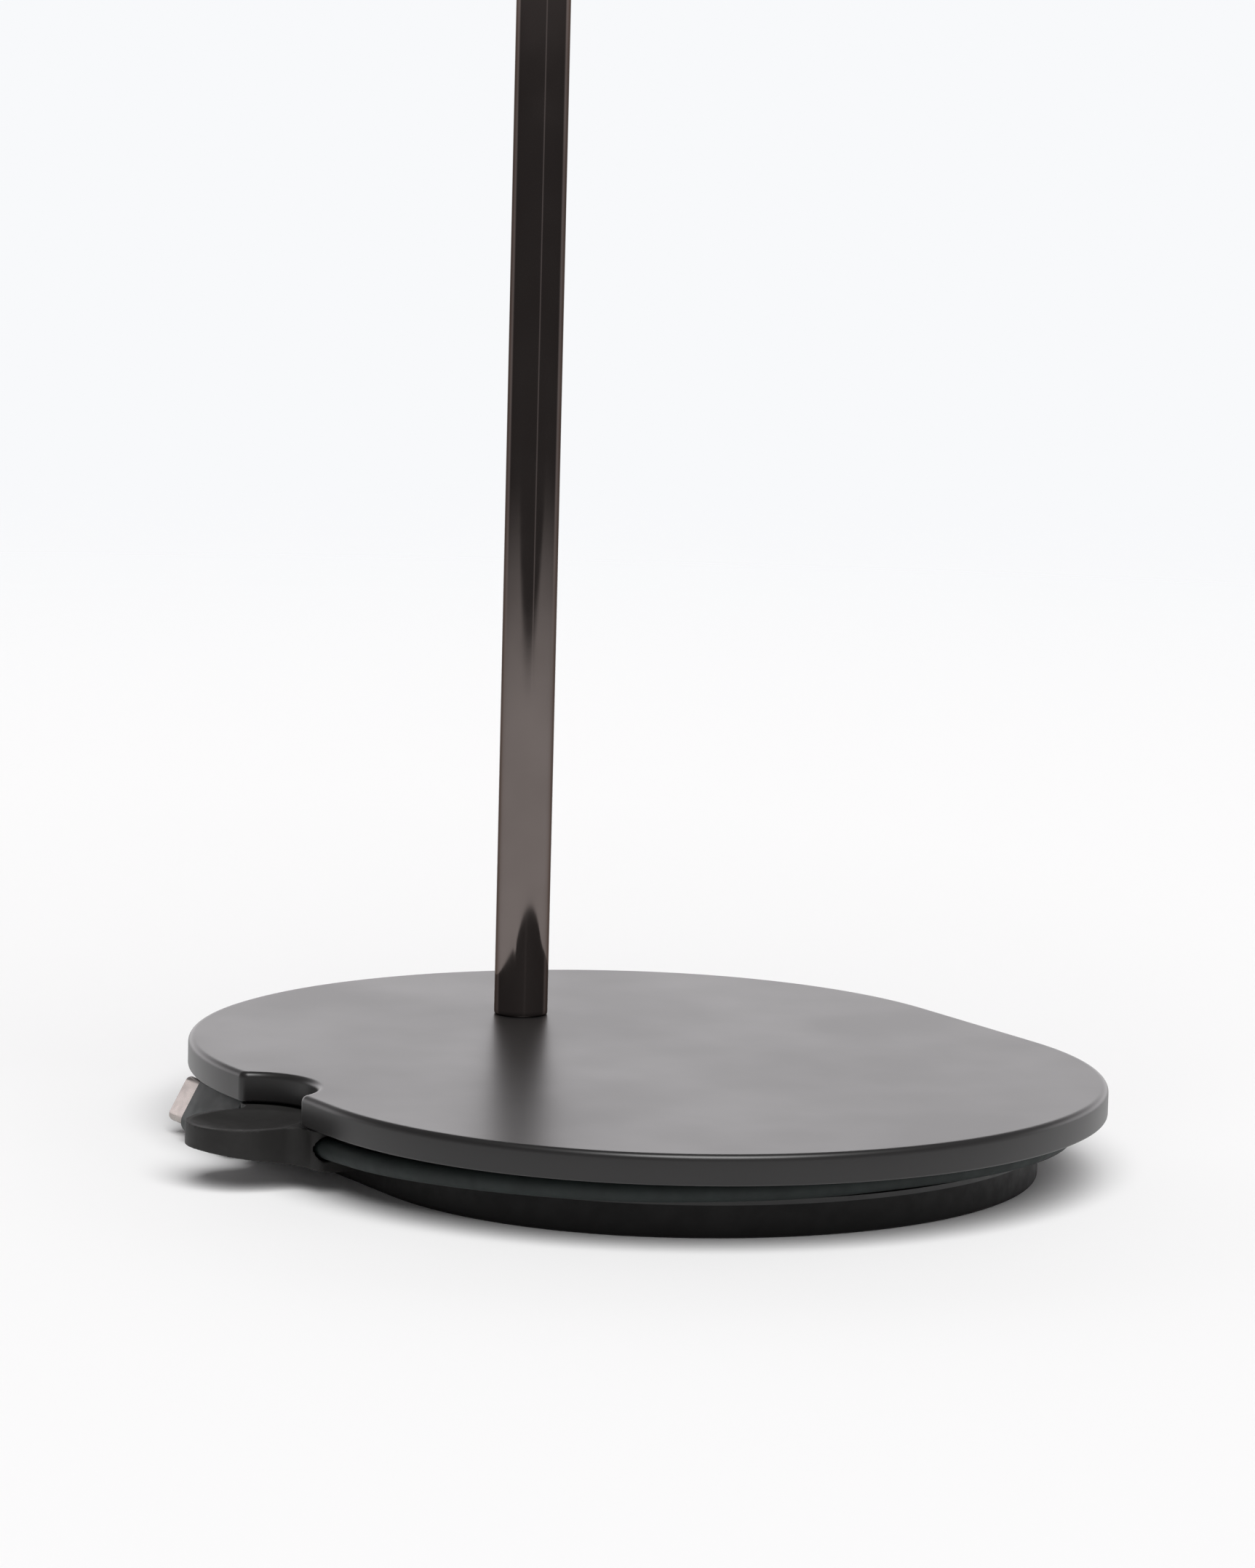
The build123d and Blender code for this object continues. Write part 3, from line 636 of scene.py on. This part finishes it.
# Silicone rubber with a soft matt grip: dark grey-brown, lighter where thin edges catch dust and light.
tab_silicone, tree, shader = new_material("soft_touch_silicone")
shader.inputs["IOR"].default_value = 1.41
place = grain(tree, shader, 0.28, 0.03, 0.4)
mottle(tree, shader, place, "Base Color", 5, srgb("#1d1c1b"), srgb("#222120"))
mottle(tree, shader, place, "Roughness", 3, 0.6, 0.7)


def soften(piece, voxel, rounds):
    """Rounds every edge a little, as rubber leaves a mould: a fine even mesh, then smoothing."""
    bpy.ops.object.mode_set(mode="OBJECT")
    mesh = piece.modifiers.new("mesh", "REMESH")
    mesh.mode, mesh.voxel_size = "VOXEL", voxel * MM
    bpy.ops.object.modifier_apply(modifier="mesh")
    smooth = piece.modifiers.new("smooth", "SMOOTH")
    smooth.factor, smooth.iterations = 0.5, rounds
    bpy.ops.object.modifier_apply(modifier="smooth")


# The outline runs round the tongue's tip, then out along each side and in a soft flare to the root.
outline = arc((TIP_X + TONGUE_HALF, TONGUE_Y), TONGUE_HALF, 90, 270)
front, back = TONGUE_Y - TONGUE_HALF, TONGUE_Y + TONGUE_HALF
outline += arc((ROOT_X - FLARE_ROUND, front - FLARE_ROUND), FLARE_ROUND, 90, 0)
outline += arc((ROOT_X + ROOT_ROUND, ROOT_FRONT + ROOT_ROUND), ROOT_ROUND, 180, 270)
outline += [Vector((ROOT_INNER_X, ROOT_FRONT)), Vector((ROOT_INNER_X, ROOT_BACK))]
outline += arc((ROOT_X + ROOT_ROUND, ROOT_BACK - ROOT_ROUND), ROOT_ROUND, 90, 180)
outline += arc((ROOT_X - FLARE_ROUND, back + FLARE_ROUND), FLARE_ROUND, 0, -90)
tab = begin_block("cable_tab_moulded", outline, TAB_LOW, TAB_TOP)
bpy.ops.mesh.select_all(action="SELECT")
bpy.ops.mesh.bisect(
    plane_co=(TIP_X * MM, 0, UNDER_TIP * MM), plane_no=(-UNDER_SLOPE, 0, -1), clear_outer=True, use_fill=True,
)
bore_past = (BORE_BACK - BORE_FRONT).normalized() * PAST
combine(tab, add_rod(BORE_FRONT - bore_past, BORE_BACK + bore_past, BORE_RADIUS, 48))
# The dish is the bottom of an ellipsoid that stands above the tongue.
tall = DISH_DEEP + DISH_RISE
wide = 1 / sqrt(1 - (DISH_RISE / tall) ** 2)
make_ready()
bpy.ops.mesh.primitive_uv_sphere_add(
    segments=96, ring_count=48, radius=MM, location=(DISH_X * MM, TONGUE_Y * MM, (TAB_TOP + DISH_RISE) * MM),
    scale=(DISH_HALF_LENGTH * wide, DISH_HALF_WIDTH * wide, tall),
)
bpy.ops.object.transform_apply(location=True, rotation=True, scale=True)
combine(tab, bpy.context.object)
soften(tab, TAB_VOXEL, TAB_SMOOTHING)
close_up(tab, tab_silicone, 180)
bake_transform(tab)
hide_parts("tab_root", "cable_tab")


# --- pole -----------------------------------------------------------------------------------------
# A seamless steel tube, bent once into an arm, polished and plated in black nickel. It stands on the
# plate on its lightly rounded end, held by a screw from below.
POLE_Y, POLE_RADIUS, POLE_FOOT_ROUND = 41.8, 4.75, 0.4
ARM_HEIGHT, ARM_BEND, ARM_END_Y = 223.5, 24.0, -50.0
EDGE_STEP = 1.0

# Black nickel over polished steel: a dark, warm mirror with the faintest haze.
black_nickel, tree, shader = new_material("black_nickel")
shader.inputs["Metallic"].default_value = 1
shader.inputs["Specular Tint"].default_value = srgb("#a09b98")
place = add_node(tree, "TexCoord").outputs["Object"]
mottle(tree, shader, place, "Base Color", 12, srgb("#6c6461"), srgb("#706865"))
mottle(tree, shader, place, "Roughness", 9, 0.05, 0.08)

bpy.ops.object.select_all(action="DESELECT")
bpy.ops.mesh.primitive_circle_add(
    vertices=96, radius=POLE_RADIUS * MM, fill_type="NGON", location=(0, POLE_Y * MM, PLATE_TOP * MM)
)
pole = begin("pole_plated")
bpy.ops.mesh.select_all(action="SELECT")
# A short step at each end of a run keeps the smooth shading of the bends out of the straight tube.
for rise in (EDGE_STEP, ARM_HEIGHT - ARM_BEND - PLATE_TOP - 2 * EDGE_STEP, EDGE_STEP):
    extrude(0, 0, rise)
bpy.ops.mesh.spin(
    steps=32, angle=pi / 2, axis=(-1, 0, 0),
    center=(0, (POLE_Y - ARM_BEND) * MM, (ARM_HEIGHT - ARM_BEND) * MM),
)
for reach in (EDGE_STEP, POLE_Y - ARM_BEND - ARM_END_Y - EDGE_STEP):
    extrude(0, -reach, 0)
pick(pole, "FACE", lambda p, n: p.z < PLATE_TOP + TINY and abs(n.z) > 0.9)
bpy.ops.mesh.region_to_loop()
bevel(POLE_FOOT_ROUND, 4)
close_up(pole, black_nickel, 40)
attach(pole, "stand")
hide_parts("pole")
coat(zinc_steel, "pole_insert", "pole_washer", "pole_screw")
coat(spool_abs, "arm_end_cap")


# --- saddle ---------------------------------------------------------------------------------------
# A die-cast core screwed across the arm, and a silicone cover drawn over it with a raised lip at the
# front and back, so that a headband can't slide off.
BOW_CENTRE = 168.3
CORE_UNDER, CORE_OUTER, CORE_HALF_WIDTH, CORE_Y = 57.8, 62.05, 32.05, (-45.05, -8.95)
COVER_INNER, COVER_OUTER, COVER_HALF_WIDTH, COVER_Y = 58.8, 64.7, 33.9, (-46.9, -7.1)
LIP_OUTER, LIP_THICK = 68.2, 2.4
ARM_ROOM, ARM_SLOT = 4.9, 20                  # the slot that the arm lies in: half its width, its depth
COVER_VOXEL, COVER_SMOOTHING = 0.5, 8

# Zinc alloy, die cast and painted satin black.
cast_alloy, tree, shader = new_material("painted_die_casting")
place = grain(tree, shader, 0.5, 0.02, 0.25)
mottle(tree, shader, place, "Base Color", 10, srgb("#1d1d1d"), srgb("#222222"))
mottle(tree, shader, place, "Roughness", 5, 0.36, 0.46)

coat(cast_alloy, "cradle_core")
coat(zinc_steel, "cradle_screws", "cradle_nuts")

# Silicone rubber, moulded and drawn over the core: soft to the touch, matt, its corners well rounded.
cover_silicone, tree, shader = new_material("saddle_silicone")
shader.inputs["IOR"].default_value = 1.41
place = grain(tree, shader, 0.3, 0.03, 0.4)
mottle(tree, shader, place, "Base Color", 7, srgb("#151413"), srgb("#1a1919"))
mottle(tree, shader, place, "Roughness", 4, 0.52, 0.64)


def add_bow(low, high, half_width, y_low, y_high):
    """Adds a bow round the saddle's centre: its radii, its half width and its ends along the arm."""
    side = [degrees(asin(half_width / r)) for r in (high, low)]
    bow = arc((0, 0), high, 90 + side[0], 90 - side[0]) + arc((0, 0), low, 90 - side[1], 90 + side[1])
    piece = begin_block("bow", bow, -y_high, -y_low)
    bpy.ops.object.mode_set(mode="OBJECT")
    piece.data.transform(Matrix.Translation((0, 0, BOW_CENTRE * MM)) @ Matrix.Rotation(pi / 2, 4, "X"))
    return piece


low, high = COVER_Y
cover = add_bow(COVER_INNER, COVER_OUTER, COVER_HALF_WIDTH, low, high)
cover.name = cover.data.name = "saddle_cover_moulded"
for ends in ((low, low + LIP_THICK), (high - LIP_THICK, high)):
    combine(cover, add_bow(COVER_INNER, LIP_OUTER, COVER_HALF_WIDTH, *ends), "UNION")
combine(cover, add_bow(CORE_UNDER, CORE_OUTER, CORE_HALF_WIDTH, *CORE_Y))
combine(cover, add_rod((0, low - PAST, ARM_HEIGHT), (0, high + PAST, ARM_HEIGHT), ARM_ROOM))
combine(cover, add_box((-ARM_ROOM, low - PAST, ARM_HEIGHT - ARM_SLOT), (ARM_ROOM, high + PAST, ARM_HEIGHT)))
soften(cover, COVER_VOXEL, COVER_SMOOTHING)
close_up(cover, cover_silicone, 180)
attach(cover, "stand")
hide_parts("cradle_cover")
